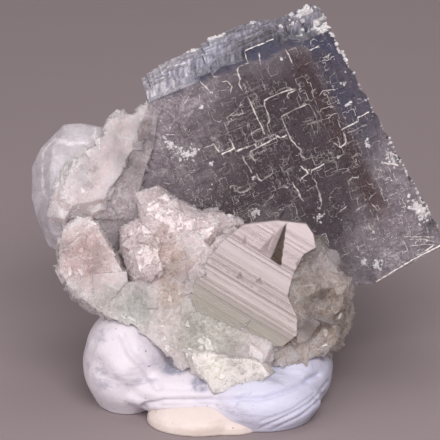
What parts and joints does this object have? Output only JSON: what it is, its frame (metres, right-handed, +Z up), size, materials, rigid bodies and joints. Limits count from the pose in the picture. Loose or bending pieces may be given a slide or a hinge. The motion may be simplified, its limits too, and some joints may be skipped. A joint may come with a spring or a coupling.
{
  "type": "fluorite crystal specimen",
  "caption": "Smoky see-through fluorite cube grown out of a white and pale green cluster, pressed into lumps of mounting putty.",
  "frame": {"origin": "middle of the base of the box around the whole object, on the surface that the putty stands on", "axes": "+Z up, -Y towards the front, which the cube's stepped face and the striated face look at, +X to the right seen from the front"},
  "size_m": [0.05, 0.041, 0.0434],
  "materials": {
    "smoky_fluorite": "smoky, see-through crystal with a finely stepped face; frosted white, pink, lilac and pale green where it is broken or granular",
    "blue_putty": "soft putty, blue-white, kneaded and folded, with a faint gloss and dark specks",
    "cream_putty": "soft putty, cream, smooth with a faint gloss"
  },
  "bodies": {
    "root": {"fluorite_specimen": "smoky_fluorite", "putty_blue": "blue_putty", "putty_cream": "cream_putty"}
  },
  "joints": []
}
